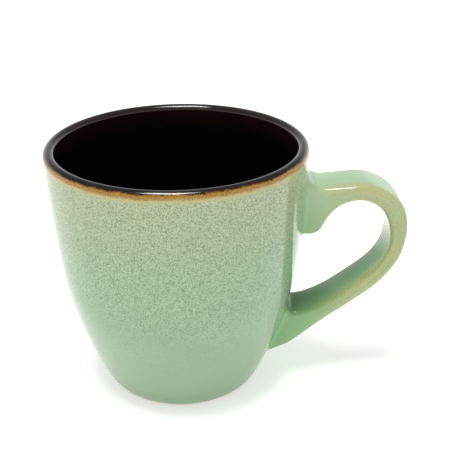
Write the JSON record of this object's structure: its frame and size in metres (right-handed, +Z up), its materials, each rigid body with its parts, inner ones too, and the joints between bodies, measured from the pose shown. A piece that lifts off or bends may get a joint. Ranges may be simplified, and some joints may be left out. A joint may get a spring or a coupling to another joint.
{
  "type": "ceramic mug",
  "caption": "Stoneware mug with a tapering round cup, bare foot ring and a pulled strap handle, glazed speckled sage outside and black inside with an amber break at the lip.",
  "frame": {"origin": "centre of the foot ring, on the plane the mug stands on", "axes": "+Z up along the cup's axis, +X out through the middle of the handle, +Y completes the frame"},
  "size_m": [0.1385, 0.1, 0.1],
  "materials": {
    "bare_clay": "matt fired stoneware, warm brown",
    "joining_slip": "matt fired slip",
    "black_liner_glaze": "gloss black, brown where it thins at the lip",
    "amber_break_glaze": "gloss amber, runny lower edge",
    "sage_glaze": "gloss sage green, sandy and speckled towards the lip"
  },
  "bodies": {
    "root": {"cup_body": "bare_clay", "handle": "bare_clay", "upper_slip_joint": "joining_slip", "lower_slip_joint": "joining_slip", "liner_glaze": "black_liner_glaze", "rim_break_band": "amber_break_glaze", "outer_glaze": "sage_glaze", "handle_glaze": "sage_glaze", "underside_glaze": "sage_glaze"}
  },
  "joints": []
}
